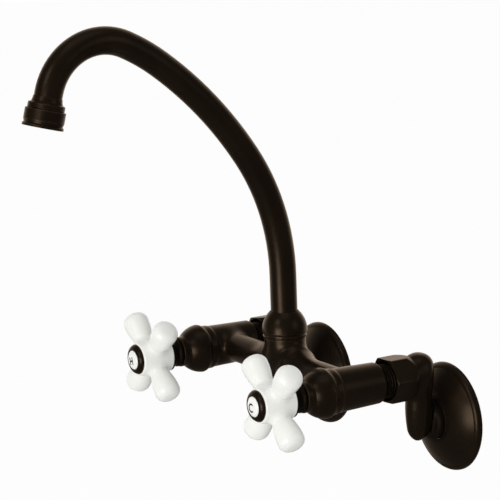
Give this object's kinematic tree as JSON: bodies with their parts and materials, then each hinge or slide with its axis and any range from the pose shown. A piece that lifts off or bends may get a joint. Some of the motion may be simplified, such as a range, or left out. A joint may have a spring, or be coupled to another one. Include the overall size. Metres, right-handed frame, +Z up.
{
  "type": "wall mount kitchen faucet",
  "caption": "Wall-mount bridge faucet with a tall swivelling gooseneck spout, porcelain cross handles and offset supply arms with round wall flanges.",
  "frame": {"origin": "on the finished wall, midway between the two valves, at the height of their axes", "axes": "+Z up, +Y into the wall, so that the faucet stands out along -Y, and +X towards the cold side"},
  "size_m": [0.2184, 0.2579, 0.3007],
  "materials": {
    "dark_bronze": "satin",
    "worn_bronze": "satin",
    "porcelain": "gloss",
    "white_enamel": "gloss",
    "mark_enamel": "satin",
    "brass": "machined",
    "seal_rubber": "matte",
    "white_nylon": "matte",
    "stainless": "brushed",
    "ceramic": "ground",
    "fibre_washer": "matte"
  },
  "bodies": {
    "body": {"faucet_body": "dark_bronze", "spout_nut": "dark_bronze", "spout_trim_ring": "worn_bronze", "spout_slip_ring": "white_nylon", "hot_bonnet": "dark_bronze", "hot_bonnet_ring": "dark_bronze", "hot_cartridge": "brass", "hot_cartridge_gasket": "seal_rubber", "hot_fixed_disc": "ceramic", "hot_seat_seal": "seal_rubber", "hot_coupling_nut": "dark_bronze", "hot_union_washer": "fibre_washer", "cold_bonnet": "dark_bronze", "cold_bonnet_ring": "dark_bronze", "cold_cartridge": "brass", "cold_cartridge_gasket": "seal_rubber", "cold_fixed_disc": "ceramic", "cold_seat_seal": "seal_rubber", "cold_coupling_nut": "dark_bronze", "cold_union_washer": "fibre_washer"},
    "spout": {"spout_tube": "dark_bronze", "spout_bush": "brass", "spout_seals": "seal_rubber", "tip_collar": "dark_bronze", "aerator_housing": "dark_bronze", "aerator_washer": "seal_rubber", "aerator_insert": "white_nylon", "aerator_screen": "stainless"},
    "hot_handle_group": {"hot_handle": "porcelain", "hot_handle_core": "dark_bronze", "hot_handle_screw": "stainless", "hot_index_ring": "dark_bronze", "hot_index_button": "white_enamel", "hot_index_mark": "mark_enamel", "hot_stem": "brass", "hot_stem_seals": "seal_rubber", "hot_stem_clip": "stainless", "hot_turning_disc": "ceramic"},
    "hot_arm_group": {"hot_offset_arm": "dark_bronze", "hot_flange": "dark_bronze"},
    "cold_handle_group": {"cold_handle": "porcelain", "cold_handle_core": "dark_bronze", "cold_handle_screw": "stainless", "cold_index_ring": "dark_bronze", "cold_index_button": "white_enamel", "cold_index_mark": "mark_enamel", "cold_stem": "brass", "cold_stem_seals": "seal_rubber", "cold_stem_clip": "stainless", "cold_turning_disc": "ceramic"},
    "cold_arm_group": {"cold_offset_arm": "dark_bronze", "cold_flange": "dark_bronze"}
  },
  "joints": [
    {"name": "spout_swivel", "type": "hinge", "parent": "body", "child": "spout", "pos_m": [0, -0.0776, 0.02], "axis": [0, 0, 1], "range_deg": [-110, 110]},
    {"name": "hot_handle_turn", "type": "hinge", "parent": "body", "child": "hot_handle_group", "pos_m": [-0.0762, -0.1, 0], "axis": [0, -1, 0], "range_deg": [0, 90]},
    {"name": "hot_arm_swivel", "type": "hinge", "parent": "body", "child": "hot_arm_group", "pos_m": [-0.0762, -0.035, 0], "axis": [0, -1, 0], "range_deg": [-94.6, 85.4]},
    {"name": "cold_handle_turn", "type": "hinge", "parent": "body", "child": "cold_handle_group", "pos_m": [0.0762, -0.1, 0], "axis": [0, 1, 0], "range_deg": [0, 90]},
    {"name": "cold_arm_swivel", "type": "hinge", "parent": "body", "child": "cold_arm_group", "pos_m": [0.0762, -0.035, 0], "axis": [0, 1, 0], "range_deg": [-94.6, 85.4]}
  ]
}
